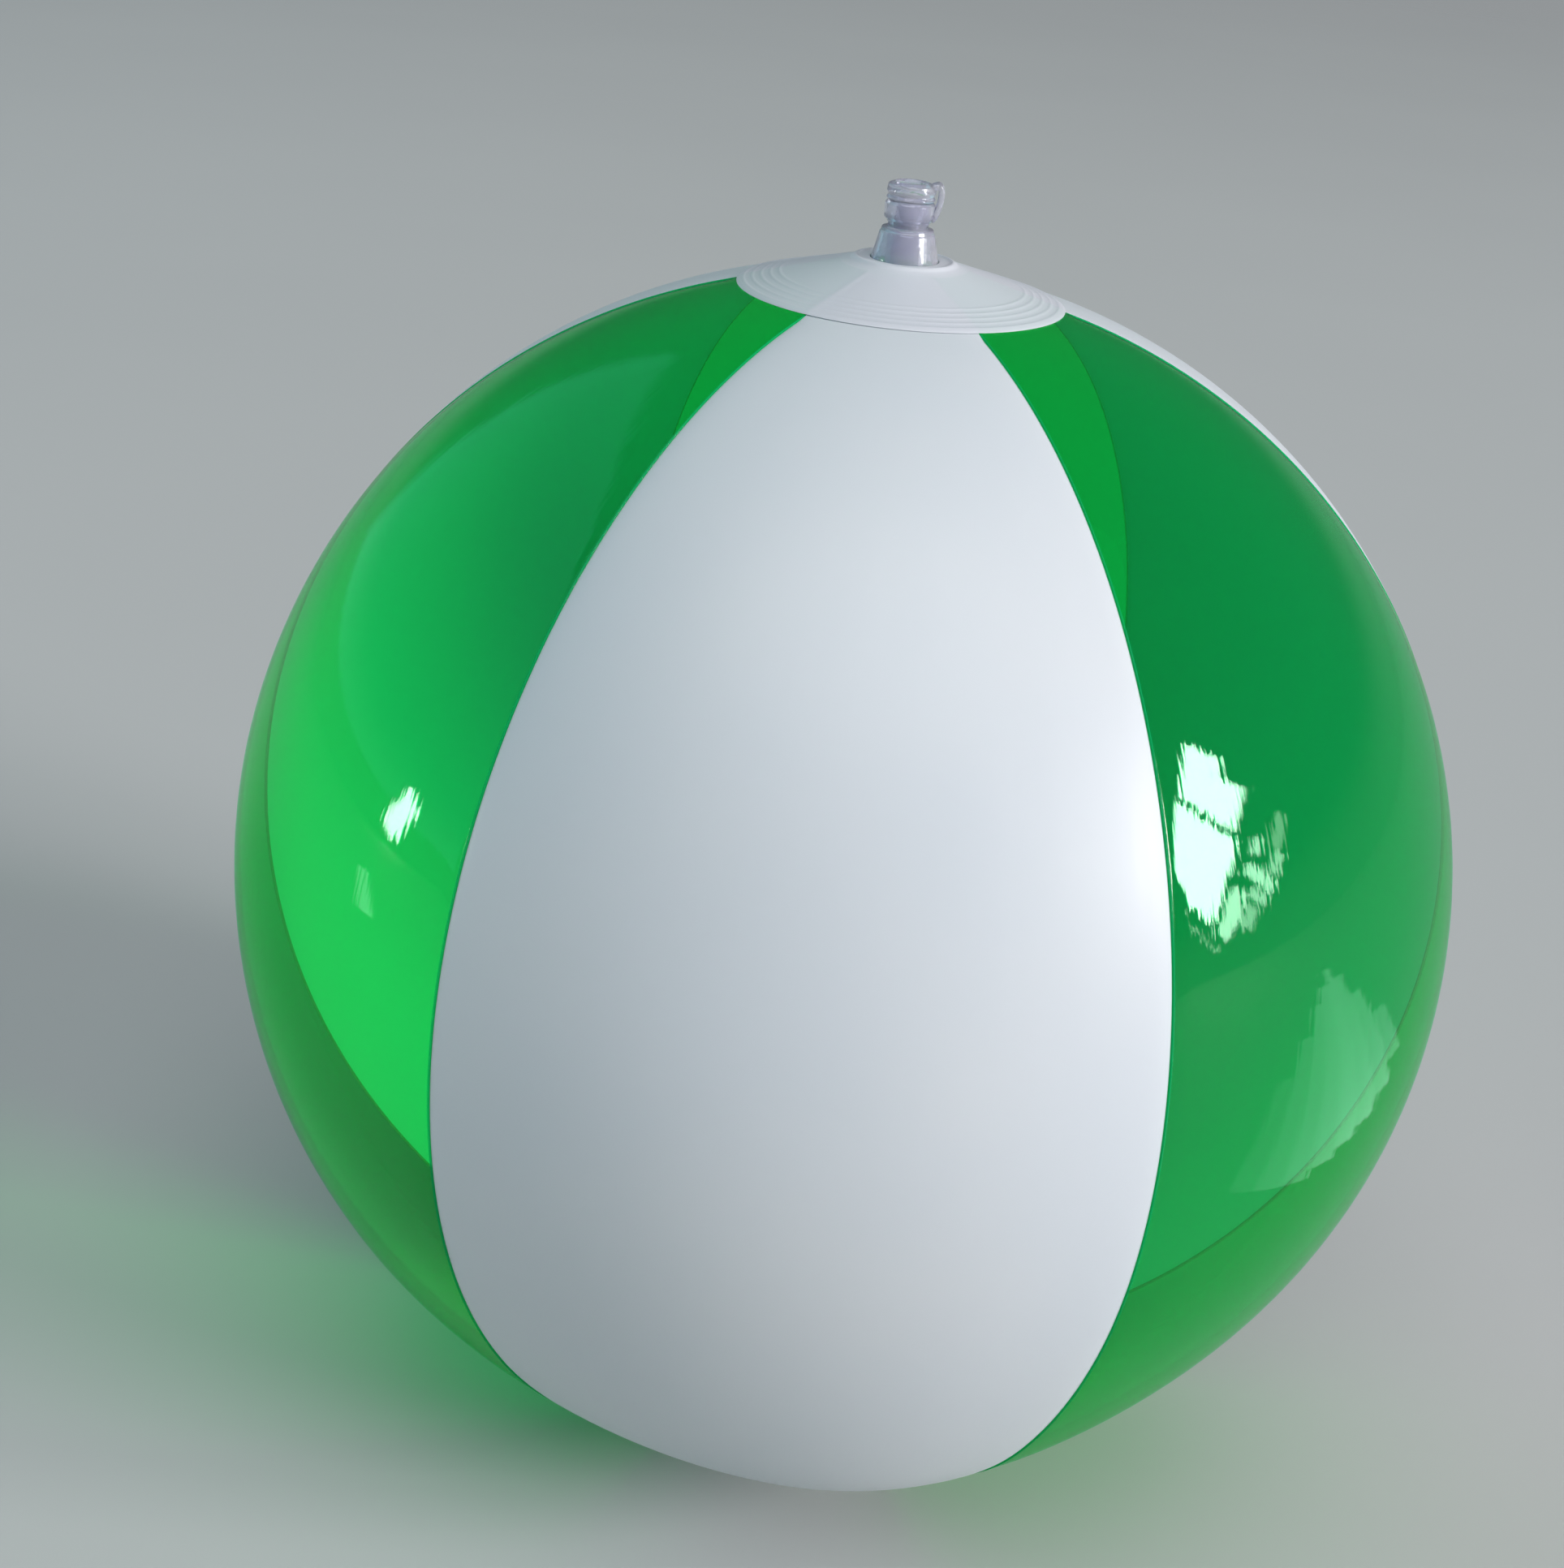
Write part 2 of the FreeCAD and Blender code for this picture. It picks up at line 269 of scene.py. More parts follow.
def make_panel(node, azimuth, material, has_bead):
    """One lune of film as a closed shell, with its welded edges.

    The film dips to each seam, and on a green panel its cut edge stands up as a thin bead.
    """
    radius, height, normal_angle = (column[:, None] for column in meridian().T)
    edge = np.array(EDGE_COLUMNS)[None, :] * MM
    near_edge = -HALF_PANEL + edge / radius
    middle_share = np.linspace(0, 1, MIDDLE_COLUMNS)[None, 1:-1]
    inner_edge = -near_edge[:, -1:]
    middle = -inner_edge + 2 * inner_edge * middle_share
    local_turn = np.concatenate([near_edge, middle, -near_edge[:, ::-1]], axis=1)
    turn = math.radians(azimuth) + local_turn
    rows, columns = turn.shape
    out = np.broadcast_to(radius, turn.shape)
    up = np.broadcast_to(height, turn.shape)
    base = np.stack([out * np.cos(turn), out * np.sin(turn), up], axis=-1)
    lean = np.broadcast_to(np.sin(normal_angle), turn.shape)
    rise = np.broadcast_to(np.cos(normal_angle), turn.shape)
    normal = np.stack([lean * np.cos(turn), lean * np.sin(turn), rise], axis=-1)
    latitude = np.arctan2(up - CENTRE.z, out)
    from_seam = (HALF_PANEL - np.abs(local_turn)) * out
    form = form_relief(turn, latitude, local_turn)
    form += ripple(base.reshape(-1, 3)).reshape(rows, columns)
    form -= WELD_VALLEY * np.exp(-from_seam / WELD_VALLEY_WIDTH)
    bead = WELD_BEAD_HEIGHT * bump(from_seam - WELD_BEAD_MIDDLE, WELD_BEAD_WIDTH) * has_bead
    fade = np.clip((out - DISC_RADIUS) / DISC_FADE, 0, 1)
    form *= fade
    outer = base + normal * (form + bead * fade)[..., None]
    inner = base + normal * (form - PANEL_FILM)[..., None]
    points = np.concatenate([outer.reshape(-1, 3), inner.reshape(-1, 3)])
    faces = shell_faces(rows, columns)
    new_object(f"{node}_film", points, faces, "ball", [node], material)


# --- Polar discs -----------------------------------------------------------------------------

DISC_STEPS = 288
TOP_STATIONS = 150
BOTTOM_STATIONS = 170
DISC_EDGE_BULGE = 0.12 * MM            # the rounding of a disc's cut edge
DISC_EDGE_DEPTH = 0.25 * DISC_FILM
FLAT_MARGIN = 2 * MM                   # how far past the flat patch the embossing starts
RING_SPACING = 1.9 * MM
RING_COUNT = 5
RING_OUTERMOST = DISC_RADIUS - 1.3 * MM
RING_HEIGHT = 0.09 * MM
RING_WIDTH = 0.36 * MM
EDGE_THINNING = 0.2 * MM               # the welding tool squeezes the disc thin at its edge
EDGE_THINNING_WIDTH = 0.9 * MM
FLANGE_RING_RADIUS = 10.6 * MM
FLANGE_RING_HEIGHT = 0.35 * MM
FLANGE_RING_WIDTH = 0.7 * MM
SEAM_SHOW = 0.05 * MM                  # how far a seam under the disc lifts it
SEAM_SHOW_WIDTH = 0.8 * MM


def disc_relief(radius, turn):
    """Height of the embossing on a disc: fine rings near its edge, and seams showing through."""
    lift = 0.0
    for number in range(RING_COUNT):
        lift += RING_HEIGHT * float(bump(radius - RING_OUTERMOST + number * RING_SPACING, RING_WIDTH))
    squeezed = min(max((radius - DISC_RADIUS) / EDGE_THINNING_WIDTH + 1, 0), 1)
    lift -= EDGE_THINNING * squeezed ** 2
    if radius > PANEL_TIP_RADIUS:
        seam = round(turn / (2 * HALF_PANEL)) * 2 * HALF_PANEL
        lift += SEAM_SHOW * float(bump((turn - seam) * radius, SEAM_SHOW_WIDTH))
    return lift


def make_top_disc(material):
    """The upper disc: a cone over the panels' tips and a raised platform round the valve."""
    def height_at(radius):
        if radius <= PLATFORM_RADIUS:
            return PLATFORM
        if radius < FLANGE_RIM_RADIUS:
            share = (radius - PLATFORM_RADIUS) / (FLANGE_RIM_RADIUS - PLATFORM_RADIUS)
            return PLATFORM + (cone_height(FLANGE_RIM_RADIUS, DISC_OUTER) - PLATFORM) * share
        return cone_height(radius, DISC_OUTER)

    def relief(radius, height, turn):
        lift = disc_relief(radius, turn)
        lift += FLANGE_RING_HEIGHT * float(bump(radius - FLANGE_RING_RADIUS, FLANGE_RING_WIDTH))
        is_outer = height > height_at(radius) - DISC_FILM / 2
        return radius, height + lift if is_outer else height

    stations = np.linspace(VALVE_HOLE_RADIUS, DISC_RADIUS, TOP_STATIONS)
    top = [(radius, height_at(radius)) for radius in stations]
    under = [(radius, height_at(radius) - DISC_FILM) for radius in reversed(stations)]
    edge = [(DISC_RADIUS + DISC_EDGE_BULGE, height_at(DISC_RADIUS) - DISC_EDGE_DEPTH)]
    points, faces = lathe(top + edge + under, DISC_STEPS, relief)
    new_object("top_disc_film", points, faces, "ball", ["top_disc"], material)


def make_bottom_disc(material):
    """The lower disc: round over the panels' feet, and flat where the ball stands on it."""
    def outer_height(radius):
        return CENTRE.z - math.sqrt(DISC_OUTER ** 2 - max(radius, CONTACT_RADIUS) ** 2)

    def relief(radius, height, turn):
        lift = disc_relief(radius, turn) if radius > CONTACT_RADIUS + FLAT_MARGIN else 0
        is_outer = height < outer_height(radius) + DISC_FILM / 2
        return radius, height - lift if is_outer else height

    stations = np.linspace(0, DISC_RADIUS, BOTTOM_STATIONS)
    under = [(radius, outer_height(radius)) for radius in stations]
    top = [(radius, outer_height(radius) + DISC_FILM) for radius in reversed(stations)]
    edge = [(DISC_RADIUS + DISC_EDGE_BULGE, outer_height(DISC_RADIUS) + DISC_EDGE_DEPTH)]
    points, faces = lathe(under + edge + top, DISC_STEPS, relief)
    new_object("bottom_disc_film", points, faces, "ball", ["bottom_disc"], material)


# --- Valve -----------------------------------------------------------------------------------

VALVE_STEPS = 96


def valve_outline(corners):
    """Corners in mm above the platform, as (radius, height, fillet), to a rounded outline."""
    line = rounded([(across * MM, up * MM, fillet * MM) for across, up, fillet in corners])
    return [(across, up + PLATFORM) for across, up in line]


FLANGE = [
    (6.2, -0.42, 0.1), (10.2, -0.42, 0.3), (12.8, -1.3, 0.15),
    (12.8, -1.9, 0.15), (10.2, -1.15, 0.3), (6.2, -1.15, 0.1),
]
SKIRT = [
    (7.25, -0.35, 0.05), (7.15, 0.35, 0.3), (5.95, 5.5, 0.3), (5.75, 5.8, 0.15), (5.55, 6.6, 0.45),
    (4.35, 6.85, 0.1), (4.35, 5.9, 0.1), (4.95, 5.7, 0.3), (6.4, -0.35, 0.05),
]
NECK = [
    (3.15, -1.6, 0.15), (4.15, -1.6, 0.2), (4.15, 7.0, 0.6), (4.75, 8.2, 0.5), (5.35, 8.7, 0.4),
    (5.4, 11.7, 0.5), (4.9, 12.2, 0.25), (3.15, 12.2, 0.25),
]
PLUG = [
    (0, 8.35, 0), (2.0, 8.35, 0.5), (2.95, 12.0, 0.2), (3.3, 12.35, 0.1), (4.9, 12.35, 0.25),
    (5.25, 12.8, 0.3), (4.85, 13.5, 0.3), (5.25, 14.2, 0.4), (5.0, 15.7, 0.6), (3.6, 16.2, 0.5),
    (2.6, 15.5, 0.5), (0, 15.4, 0),
]
MOULD_LINE_TURN = math.radians(-78)
MOULD_LINE_HEIGHT = 0.22 * MM
MOULD_LINE_WIDTH = 0.24 * MM
BORE_SIDE = 3.4 * MM                   # inside this radius is the bore, which has no mould line


def mould_line(radius, height, turn):
    """Two thin ridges, half a turn apart, where the halves of the mould met."""
    lift = 0.0
    for side in (0, math.pi):
        away = math.remainder(turn - MOULD_LINE_TURN - side, 2 * math.pi) * radius
        lift += MOULD_LINE_HEIGHT * float(bump(away, MOULD_LINE_WIDTH))
    return (radius + lift if radius > BORE_SIDE else radius), height


# Curve of the strap from the cap down to the collar, in mm: out from the axis, above the platform.
STRAP_TOP = (4.2, 15.0)
STRAP_TOP_PULL = (7.6, 18.6)
STRAP_FOOT_PULL = (6.4, 9.6)
STRAP_FOOT = (4.8, 9.0)
STRAP_HALF_THICKNESS = 0.7 * MM
STRAP_HALF_WIDTH = 1.6 * MM
STRAP_FLARE = 0.35                     # how much thicker it is at its roots
STRAP_SQUARENESS = 0.6                 # of its section: 1 is an ellipse, less is squarer
STRAP_SECTIONS = 36
STRAP_AROUND = 20
STRAP_BEND = (6.75, 12.275)            # where the joint's line crosses it


def make_strap(material):
    """The flat loop that ties the cap to the collar on the +X side, swept along a curve."""
    places = (STRAP_TOP, STRAP_TOP_PULL, STRAP_FOOT_PULL, STRAP_FOOT, STRAP_BEND)
    top, top_pull, foot_pull, foot, middle = (
        Vector((across * MM, 0, PLATFORM + up * MM)) for across, up in places
    )
    line = interpolate_bezier(foot, foot_pull, top_pull, top, STRAP_SECTIONS)
    last = STRAP_SECTIONS - 1
    points = []
    for section, place in enumerate(line):
        tangent = (line[min(section + 1, last)] - line[max(section - 1, 0)]).normalized()
        outward = Vector((tangent.z, 0, -tangent.x))
        flare = 1 + STRAP_FLARE * abs(2 * section / last - 1) ** 3
        for step in range(STRAP_AROUND):
            turn = 2 * math.pi * step / STRAP_AROUND
            across = math.copysign(abs(math.cos(turn)) ** STRAP_SQUARENESS, math.cos(turn))
            along = math.copysign(abs(math.sin(turn)) ** STRAP_SQUARENESS, math.sin(turn))
            points.append(place + outward * across * STRAP_HALF_THICKNESS * flare
                          + Vector((0, along * STRAP_HALF_WIDTH * flare, 0)))
    faces = []
    for low in range(0, last * STRAP_AROUND, STRAP_AROUND):
        high = low + STRAP_AROUND
        for step in range(STRAP_AROUND):
            after = (step + 1) % STRAP_AROUND
            faces.append((low + step, low + after, high + after, high + step))
    faces.append(tuple(range(STRAP_AROUND - 1, -1, -1)))
    faces.append(tuple(last * STRAP_AROUND + step for step in range(STRAP_AROUND)))
    strap = new_object("plug_strap_loop", points, faces, None, ["plug_strap"], material)
    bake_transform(strap)


def make_valve(material):
    """The flange, skirt, neck, plug and strap. The check flap keeps its CAD shape."""
    points, faces = lathe(valve_outline(FLANGE), VALVE_STEPS)
    new_object("valve_flange_ring", points, faces, "ball", ["valve_flange"], material)
    points, faces = lathe(valve_outline(SKIRT), VALVE_STEPS)
    skirt = new_object("valve_skirt_cone", points, faces, None, ["valve_skirt"], material)
    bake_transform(skirt)
    points, faces = lathe(valve_outline(NECK), VALVE_STEPS, mould_line)
    new_object("valve_neck_tube", points, faces, "stem", ["valve_neck"], material)
    points, faces = lathe(valve_outline(PLUG), VALVE_STEPS)
    new_object("valve_plug_cap", points, faces, "plug", ["valve_plug"], material)
    make_strap(material)
    flap_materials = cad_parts["check_flap"].data.materials
    flap_materials.clear()
    flap_materials.append(material)


# --- Materials -------------------------------------------------------------------------------


GLANCING_GLOSS = 0.45                  # how much more film reflects edge on than face on
GREEN_GLOSS = 0.032                    # share of the light that green film reflects face on
WHITE_TONES = (0.80, 0.82, 0.88, 1), (0.83, 0.84, 0.89, 1)
WHITE_OVER_GREEN = (0.775, 0.81, 0.86, 1)
WHITE_TRANSLUCENCE = 0.25
GREEN_TINTS = (0.09, 0.95, 0.53, 1), (0.12, 0.965, 0.56, 1)
GREEN_HAZE = (0.01, 0.42, 0.15, 1)
GREEN_SHINE = (0.95, 1.0, 0.97, 1)
PVC_TONES = (0.78, 0.77, 0.93, 1), (0.93, 0.92, 1.0, 1)
PVC_CLEARNESS = 0.78
FLOOR_TONES = (0.51, 0.51, 0.51, 1), (0.55, 0.55, 0.545, 1)
FILM_IOR = 1.5


class Tree:
    """A material's nodes, added one by one. An input that is a socket is linked, any other set."""

    def __init__(self, name):
        self.material = bpy.data.materials.new(name)
        self.material.use_nodes = True
        self.nodes = self.material.node_tree.nodes
        self.links = self.material.node_tree.links
        self.nodes.clear()

    def add(self, kind, inputs=None, **settings):
        node = self.nodes.new(f"ShaderNode{kind}")
        for key, setting in settings.items():
            setattr(node, key, setting)
        for key, value in (inputs or {}).items():
            if isinstance(value, bpy.types.NodeSocket):
                self.links.new(value, node.inputs[key])
            else:
                node.inputs[key].default_value = value
        return node

    def math(self, operation, first, second=0.0):
        return self.add("Math", {0: first, 1: second}, operation=operation).outputs[0]

    def place(self):
        return self.add("TexCoord").outputs["Object"]

    def noise(self, place, scale, detail=2.0, roughness=0.5):
        inputs = {"Vector": place, "Scale": scale, "Detail": detail, "Roughness": roughness}
        return self.add("TexNoise", inputs).outputs["Fac"]

    def spread(self, value, low, high, out_low, out_high):
        inputs = {"Value": value, "From Min": low, "From Max": high,
                  "To Min": out_low, "To Max": out_high}
        return self.add("MapRange", inputs).outputs["Result"]

    def mix(self, factor, first, second):
        inputs = {"Factor": factor, 6: first, 7: second}
        return self.add("Mix", inputs, data_type="RGBA").outputs[2]

    def bump(self, height, strength, distance):
        inputs = {"Strength": strength, "Distance": distance, "Height": height}
        return self.add("Bump", inputs).outputs[0]

    def turn_and_height(self, place):
        """Turn about the ball's axis, in radians, and height."""
        parts = self.add("SeparateXYZ", {0: place})
        return self.math("ARCTAN2", parts.outputs["Y"], parts.outputs["X"]), parts.outputs["Z"]

    def streaks(self, place, across, along):
        """Noise drawn out along the meridians, as the film's rollers leave it."""
        turn, height = self.turn_and_height(place)
        place_on_film = self.add("CombineXYZ", {
            0: self.math("MULTIPLY", turn, across),
            1: self.math("MULTIPLY", height, along),
        }).outputs[0]
        return self.noise(place_on_film, 1.0, 3.0)

    def from_seam(self, place):
        """Distance from the nearest of the six seams, and from the ball's axis."""
        turn, _ = self.turn_and_height(place)
        flat = self.add("VectorMath", {0: place, 1: (1, 1, 0)}, operation="MULTIPLY").outputs[0]
        radius = self.add("VectorMath", {0: flat}, operation="LENGTH").outputs["Value"]
        return self.math("MULTIPLY", self.math("PINGPONG", turn, HALF_PANEL), radius), radius

    def gloss_share(self, straight_on):
        """How much a clear surface reflects, rising towards a glancing view from either side."""
        facing = self.add("LayerWeight", {"Blend": 0.5}).outputs["Facing"]
        rise = self.math("POWER", facing, 5.0)
        return self.math("ADD", self.math("MULTIPLY", rise, GLANCING_GLOSS), straight_on)

    def finish(self, surface):
        self.add("OutputMaterial", {"Surface": surface})
        return self.material


def white_vinyl(name, over_panels=False):
    """Opaque white film: satin, faintly streaked, and letting a little light through.

    Over the panels, as the discs are, the green ones show through it faintly.
    """
    tree = Tree(name)
    place = tree.place()
    cloud = tree.noise(place, 14.0, 3.0)
    grain = tree.noise(place, 900.0, 2.0)
    streak = tree.streaks(place, 60.0, 6.0)
    tone = tree.mix(tree.spread(cloud, 0.35, 0.65, 0.0, 1.0), *WHITE_TONES)
    if over_panels:
        turn, _ = tree.turn_and_height(place)
        wave = tree.math("SINE", tree.math("MULTIPLY", turn, 3.0))      # below 0 on green panels
        over_green = tree.spread(wave, -0.06, 0.06, 1.0, 0.0)
        _, radius = tree.from_seam(place)
        past_tips = tree.spread(radius, PANEL_TIP_RADIUS - 0.5 * MM, PANEL_TIP_RADIUS, 0.0, 1.0)
        tone = tree.mix(tree.math("MULTIPLY", over_green, past_tips), tone, WHITE_OVER_GREEN)
    front = tree.add("BsdfPrincipled", {
        "Base Color": tone, "Roughness": tree.spread(streak, 0.3, 0.7, 0.36, 0.46),
        "IOR": FILM_IOR, "Normal": tree.bump(grain, 0.12, 0.05 * MM),
    }).outputs[0]
    through = tree.add("BsdfTranslucent", {"Color": tone}).outputs[0]
    film = tree.add("MixShader", {"Fac": WHITE_TRANSLUCENCE, 1: front, 2: through})
    return tree.finish(film.outputs[0])


def green_vinyl():
    """Clear green film, whose two faces each tint what shows through. Its weld is hazy and dull."""
    tree = Tree("green_vinyl_film")
    place = tree.place()
    streak = tree.streaks(place, 90.0, 5.0)
    cloud = tree.noise(place, 10.0, 2.0)
    tint = tree.mix(tree.spread(cloud, 0.3, 0.7, 0.0, 1.0), *GREEN_TINTS)
    clear = tree.add("BsdfTransparent", {"Color": tint}).outputs[0]
    haze = tree.add("BsdfPrincipled", {
        "Base Color": GREEN_HAZE, "Roughness": 0.5, "Specular IOR Level": 0.0,
    }).outputs[0]
    shine = tree.add("BsdfPrincipled", {
        "Base Color": GREEN_SHINE, "Metallic": 1.0,
        "Roughness": tree.spread(streak, 0.3, 0.7, 0.01, 0.04),
        "Normal": tree.bump(streak, 0.4, 0.07 * MM),
    }).outputs[0]
    from_seam, _ = tree.from_seam(place)
    weld_haze = tree.spread(from_seam, 0.25 * MM, 0.75 * MM, 0.55, 0.06)
    hazy = tree.add("MixShader", {"Fac": weld_haze, 1: clear, 2: haze}).outputs[0]
    weld_dullness = tree.spread(from_seam, 0.3 * MM, 0.9 * MM, 0.15, 1.0)
    gloss = tree.math("MULTIPLY", tree.gloss_share(GREEN_GLOSS), weld_dullness)
    return tree.finish(tree.add("MixShader", {"Fac": gloss, 1: hazy, 2: shine}).outputs[0])


def clear_pvc():
    """Soft clear moulding: lavender grey, slightly milky, with fine waves in its surface."""
    tree = Tree("valve_clear_pvc")
    place = tree.place()
    waves = tree.noise(place, 420.0, 2.0)
    cloud = tree.noise(place, 160.0, 2.0)
    body = tree.add("BsdfPrincipled", {
        "Base Color": tree.mix(tree.spread(cloud, 0.35, 0.65, 0.0, 1.0), *PVC_TONES),
        "Roughness": tree.spread(cloud, 0.3, 0.7, 0.02, 0.08),
        "IOR": FILM_IOR, "Transmission Weight": PVC_CLEARNESS,
        "Normal": tree.bump(waves, 0.5, 0.3 * MM),
    }).outputs[0]
    return tree.finish(body)


FLOOR_FADE_START, FLOOR_FADE_END = 1.5, 7.0


def pale_floor():
    """Matt and pale round the ball. Far away it fades into the backdrop, so no horizon shows."""
    tree = Tree("pale_floor")
    place = tree.place()
    surface = tree.add("BsdfPrincipled", {
        "Base Color": tree.mix(tree.noise(place, 1.5, 3.0), *FLOOR_TONES),
        "Roughness": 0.75, "Specular IOR Level": 0.12,
    }).outputs[0]
    away = tree.add("VectorMath", {0: place}, operation="LENGTH").outputs["Value"]
    faded = tree.spread(away, FLOOR_FADE_START, FLOOR_FADE_END, 0.0, 1.0)
    backdrop = tree.add("BsdfTransparent").outputs[0]
    return tree.finish(tree.add("MixShader", {"Fac": faded, 1: surface, 2: backdrop}).outputs[0])


# --- Camera, floor and lights ----------------------------------------------------------------

VIEW_ELEVATION = math.radians(25.5)
VIEW_TURN = math.radians(1.9)          # towards +X from straight in front
VIEW_ROLL = math.radians(6.15)         # the ball's axis leans to the right at its top
VIEW_DISTANCE = 3.96 * BALL_RADIUS
VIEW_RIGHT = math.radians(1.425)       # how far the ball's middle is from the view's axis
VIEW_DOWN = math.radians(1.89)
LENS = 53.4
FLOOR_HALF_WIDTH = 30.0
FLOOR_DROP = 0.1 * MM                  # below the ball, so that the two don't touch


def make_camera():
    """A camera above the front, whose axis passes a little to the upper left of the ball."""
    towards_camera = Vector((
        math.sin(VIEW_TURN) * math.cos(VIEW_ELEVATION),
        -math.cos(VIEW_TURN) * math.cos(VIEW_ELEVATION),
        math.sin(VIEW_ELEVATION),
    ))
    looking = (-towards_camera).to_track_quat("-Z", "Y")
    rolled = looking @ Quaternion((0, 0, 1), VIEW_ROLL)
    ball_way = Vector((math.tan(VIEW_RIGHT), -math.tan(VIEW_DOWN), -1)).normalized()
    aimed = rolled @ Vector((0, 0, -1)).rotation_difference(ball_way).inverted()
    camera = bpy.data.objects.new("camera", bpy.data.cameras.new("camera"))
    camera.data.lens = LENS
    camera.rotation_mode = "QUATERNION"
    camera.rotation_quaternion = aimed
    camera.location = CENTRE + towards_camera * VIEW_DISTANCE
    bpy.context.scene.collection.objects.link(camera)
    bpy.context.scene.camera = camera


def make_floor():
    half = FLOOR_HALF_WIDTH
    mesh = bpy.data.meshes.new("floor")
    corners = [(-half, -half, 0), (half, -half, 0), (half, half, 0), (-half, half, 0)]
    mesh.from_pydata(corners, [], [(0, 1, 2, 3)])
    mesh.materials.append(pale_floor())
    floor = bpy.data.objects.new("floor", mesh)
    floor.location.z = -FLOOR_DROP
    bpy.context.scene.collection.objects.link(floor)


def sky_way(turn, elevation):
    """A direction from the ball's middle, given in degrees."""
    turn, elevation = math.radians(turn), math.radians(elevation)
    flat = math.cos(elevation)
    return Vector((math.cos(turn) * flat, math.sin(turn) * flat, math.sin(elevation)))


def add_lamp(name, place, axes, width, height, radiance, colour=(1, 1, 1)):
    """A rectangular lamp at a place, with its axes across, up and backwards."""
    light = bpy.data.lights.new(name, "AREA")
    light.shape = "RECTANGLE"
    light.size, light.size_y = width, height
    light.energy = radiance * math.pi * width * height
    light.color = colour
    lamp = bpy.data.objects.new(name, light)
    lamp.matrix_world = Matrix.Translation(place) @ Matrix(axes).transposed().to_4x4()
    lamp.visible_camera = False
    bpy.context.scene.collection.objects.link(lamp)


def facing_axes(way, roll=0.0):
    """Axes across, up and backwards of a lamp that faces the ball from a direction."""
    across = Vector((0, 0, 1)).cross(way).normalized()
    turned = Quaternion(way, math.radians(roll))
    across = turned @ across
    return across, way.cross(across), way


def add_soft_light(name, turn, elevation, distance, wide, high, radiance, colour, roll=0.0):
    """A lamp facing the ball, with its place and its width and height in degrees."""
    way = sky_way(turn, elevation)
    width, height = (2 * distance * math.tan(math.radians(angle) / 2) for angle in (wide, high))
    add_lamp(name, CENTRE + way * distance, facing_axes(way, roll), width, height, radiance, colour)


WINDOW_DISTANCE = 16.0
WINDOW_TURN, WINDOW_ELEVATION = -17.8, 17.5
WINDOW_ROLL = -45
WINDOW_RADIANCE = 26.5
# Panes of the window, in its own plane: across and up to the middle, width and height, all in
# degrees as seen from the ball, and brightness.
WINDOW_PANES = (
    (-4.0, 8.9, 8.5, 9.2, 1.0),
    (2.9, 7.6, 5.3, 6.6, 1.0),
    (-2.8, -3.3, 17.4, 13.0, 1.0),
    (10.3, 4.5, 2.0, 2.6, 0.45),
    (14.6, 8.6, 2.6, 5.0, 0.15),
    (15.6, 4.4, 2.6, 3.4, 0.3),
    (12.9, 1.0, 7.4, 1.9, 0.5),
    (13.6, -1.5, 4.4, 1.7, 0.35),
    (9.4, -6.4, 3.6, 7.8, 0.5),
    (13.2, -5.0, 3.0, 3.6, 0.25),
    (3.0, -12.4, 14.0, 0.4, 0.25),
)


def make_window():
    """A far window to the right, of bright and dim panes."""
    way = sky_way(WINDOW_TURN, WINDOW_ELEVATION)
    across, up, back = facing_axes(way, WINDOW_ROLL)
    for number, (right, high, pane_width, pane_height, brightness) in enumerate(WINDOW_PANES):
        reach, rise, width, height = (
            WINDOW_DISTANCE * math.tan(math.radians(angle))
            for angle in (right, high, pane_width, pane_height)
        )
        place = CENTRE + way * WINDOW_DISTANCE + across * reach + up * rise
        add_lamp(f"window_pane_{number}", place, (across, up, back), width, height,
                 WINDOW_RADIANCE * brightness)


# Lamps that face the ball: name, turn, elevation, distance, width and height in degrees as seen
# from the ball, radiance, colour, roll.
SOFT_LIGHTS = (
    ("overhead", -87, 67, 12.0, 44, 44, 2.45, (0.96, 0.97, 1.0), 0),
    ("left_wall", 172, 27, 12.0, 84, 48, 0.5, (0.25, 0.9, 1.0), 0),
    ("left_window", 189, 3, 4.0, 4.1, 7.4, 22.0, (1, 1, 1), -30),
)
# Strips of light lying on the floor, which shine up as sunlit patches of floor do: Y of the
# middle, X of both ends, width in metres, radiance. Eight wide ones side by side and five thin
# ones over them make one streaky patch on the right, and the last is a small one on the left.
LOW_STRIP_HEIGHT = 4 * MM
LOW_STRIP_COLOUR = (0.8, 0.94, 1.0)
LOW_STRIPS = (
    (-0.105, 0.26, 0.48, 0.030, 0.4),
    (-0.075, 0.26, 0.62, 0.030, 0.8),
    (-0.045, 0.26, 0.80, 0.030, 1.2),
    (-0.015, 0.27, 0.95, 0.030, 1.5),
    (0.015, 0.28, 1.15, 0.030, 1.7),
    (0.045, 0.29, 0.95, 0.030, 1.5),
    (0.075, 0.31, 0.70, 0.030, 1.2),
    (0.105, 0.35, 0.52, 0.030, 0.8),
    (-0.052, 0.26, 0.60, 0.008, 0.5),
    (-0.024, 0.27, 0.75, 0.006, 0.6),
    (0.006, 0.28, 1.00, 0.008, 0.6),
    (0.030, 0.28, 0.85, 0.006, 0.6),
    (0.066, 0.30, 0.60, 0.008, 0.5),
    (-0.160, -1.35, -0.80, 0.060, 2.4),
)


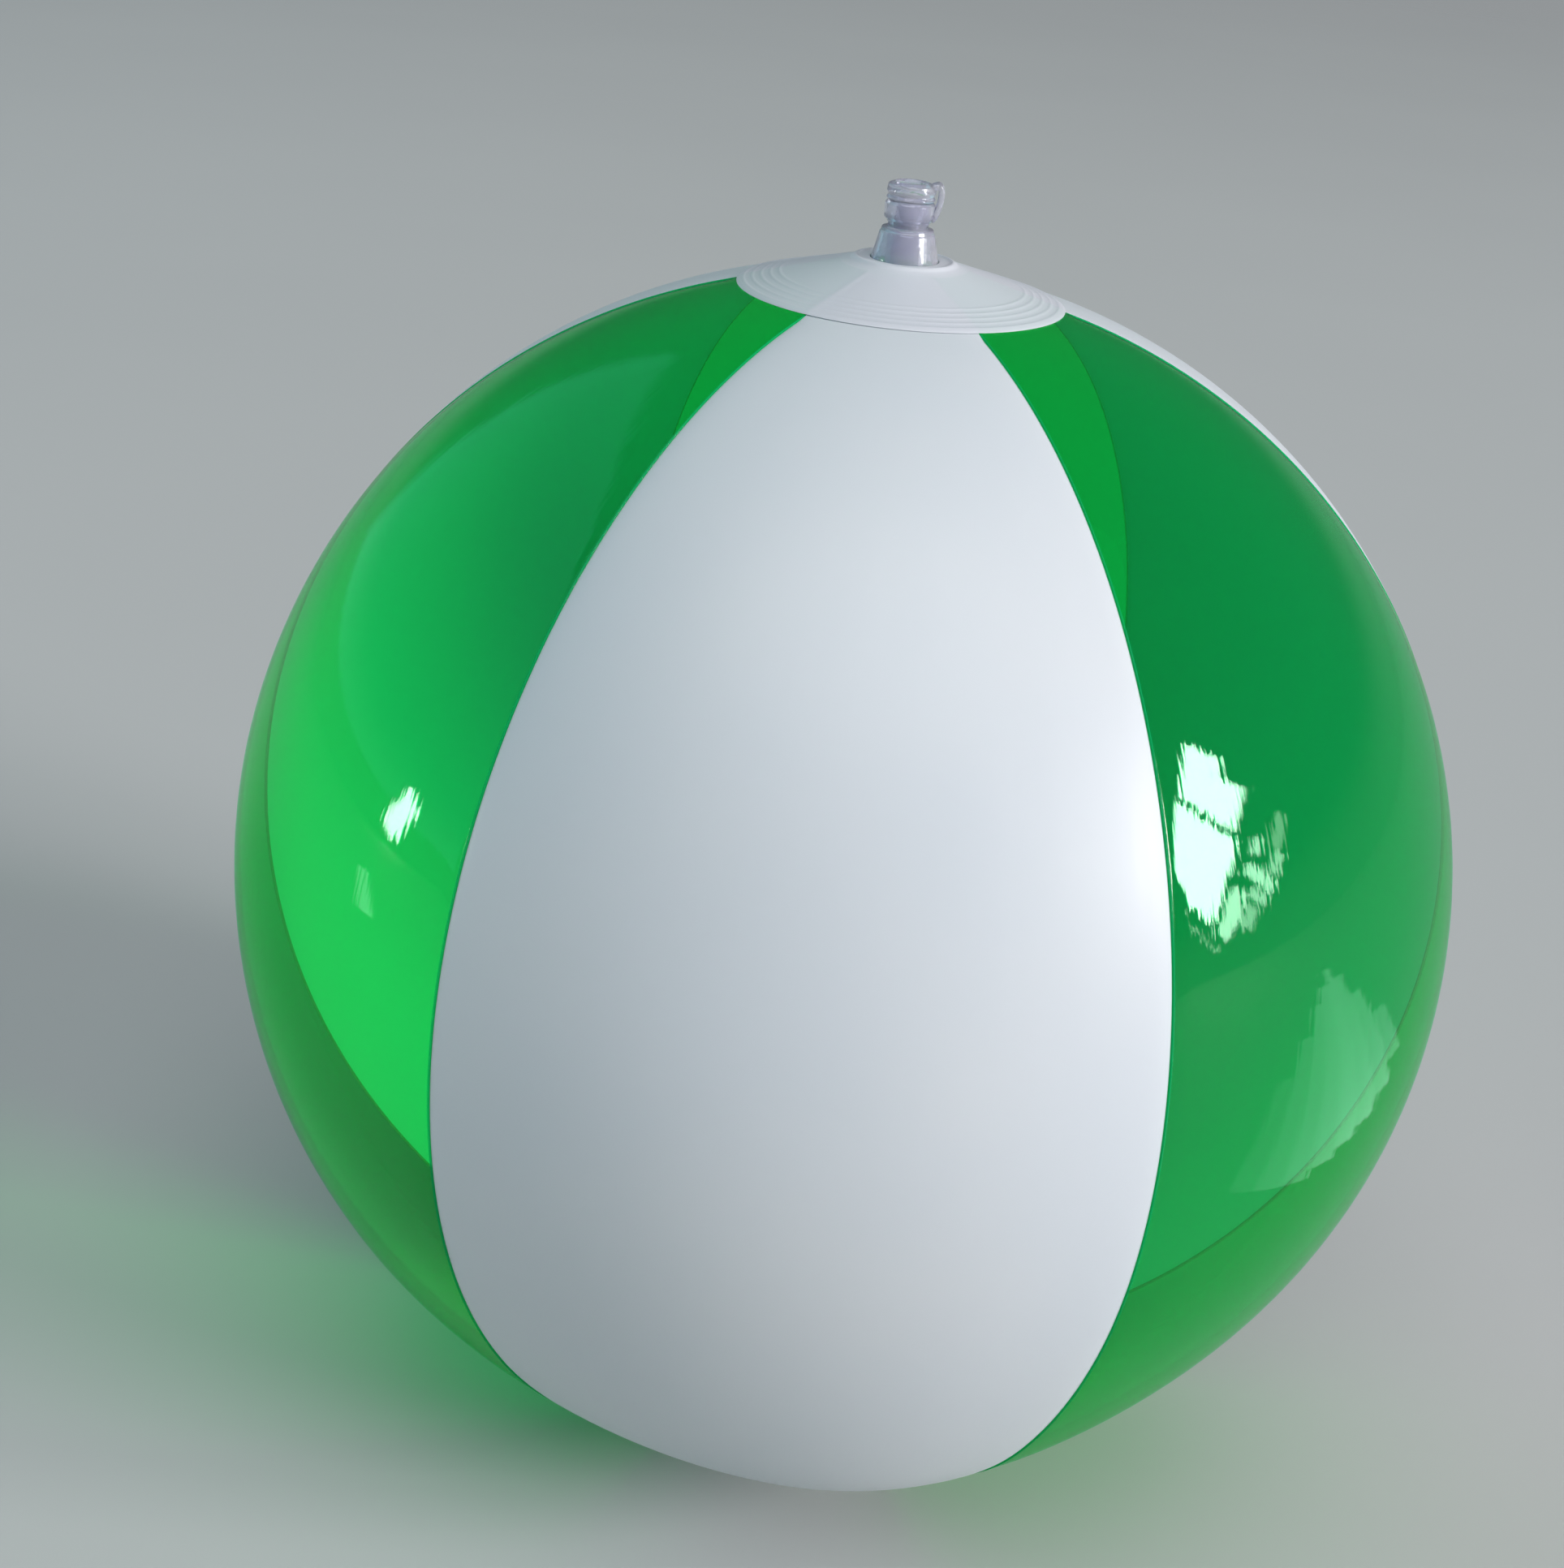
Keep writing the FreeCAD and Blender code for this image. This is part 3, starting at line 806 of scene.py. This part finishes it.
def make_low_strips():
    facing_up = ((1, 0, 0), (0, -1, 0), (0, 0, -1))
    for number, (y, left, right, width, radiance) in enumerate(LOW_STRIPS):
        place = Vector(((left + right) / 2, y, LOW_STRIP_HEIGHT))
        add_lamp(f"low_strip_{number}", place, facing_up, right - left, width, radiance,
                 LOW_STRIP_COLOUR)


def make_lights():
    """The window, a soft panel above the front, a wall and a small window to the left, and strips."""
    make_window()
    for light in SOFT_LIGHTS:
        add_soft_light(*light)
    make_low_strips()
    make_backdrop()


BACKDROP_COLOUR = (0.92, 0.97, 1.0, 1)
HORIZON_STRENGTH = 0.32
HIGH_STRENGTH = 0.09
HORIZON_FADE = 0.2                     # sine of the elevation above which it is at its dimmest


def make_backdrop():
    """Even light from all round, palest at the horizon, where it meets the floor."""
    world = bpy.data.worlds.new("studio")
    world.use_nodes = True
    nodes, links = world.node_tree.nodes, world.node_tree.links
    parts = nodes.new("ShaderNodeSeparateXYZ")
    links.new(nodes.new("ShaderNodeTexCoord").outputs["Generated"], parts.inputs[0])
    fade = nodes.new("ShaderNodeMapRange")
    fade.interpolation_type = "SMOOTHERSTEP"
    fade.inputs["From Max"].default_value = HORIZON_FADE
    fade.inputs["To Min"].default_value = HORIZON_STRENGTH
    fade.inputs["To Max"].default_value = HIGH_STRENGTH
    links.new(parts.outputs["Z"], fade.inputs["Value"])
    nodes["Background"].inputs["Color"].default_value = BACKDROP_COLOUR
    links.new(fade.outputs["Result"], nodes["Background"].inputs["Strength"])
    bpy.context.scene.world = world
    bpy.context.scene.view_settings.view_transform = "Standard"


# --- The whole -------------------------------------------------------------------------------

make_camera()
make_floor()
make_lights()
white = white_vinyl("white_vinyl_film")
disc_white = white_vinyl("white_disc_film", over_panels=True)
green = green_vinyl()
for panel_node, panel_azimuth in PANELS.items():
    is_green = "green" in panel_node
    make_panel(panel_node, panel_azimuth,
               green if is_green else white, has_bead=is_green)
make_top_disc(disc_white)
make_bottom_disc(disc_white)
make_valve(clear_pvc())
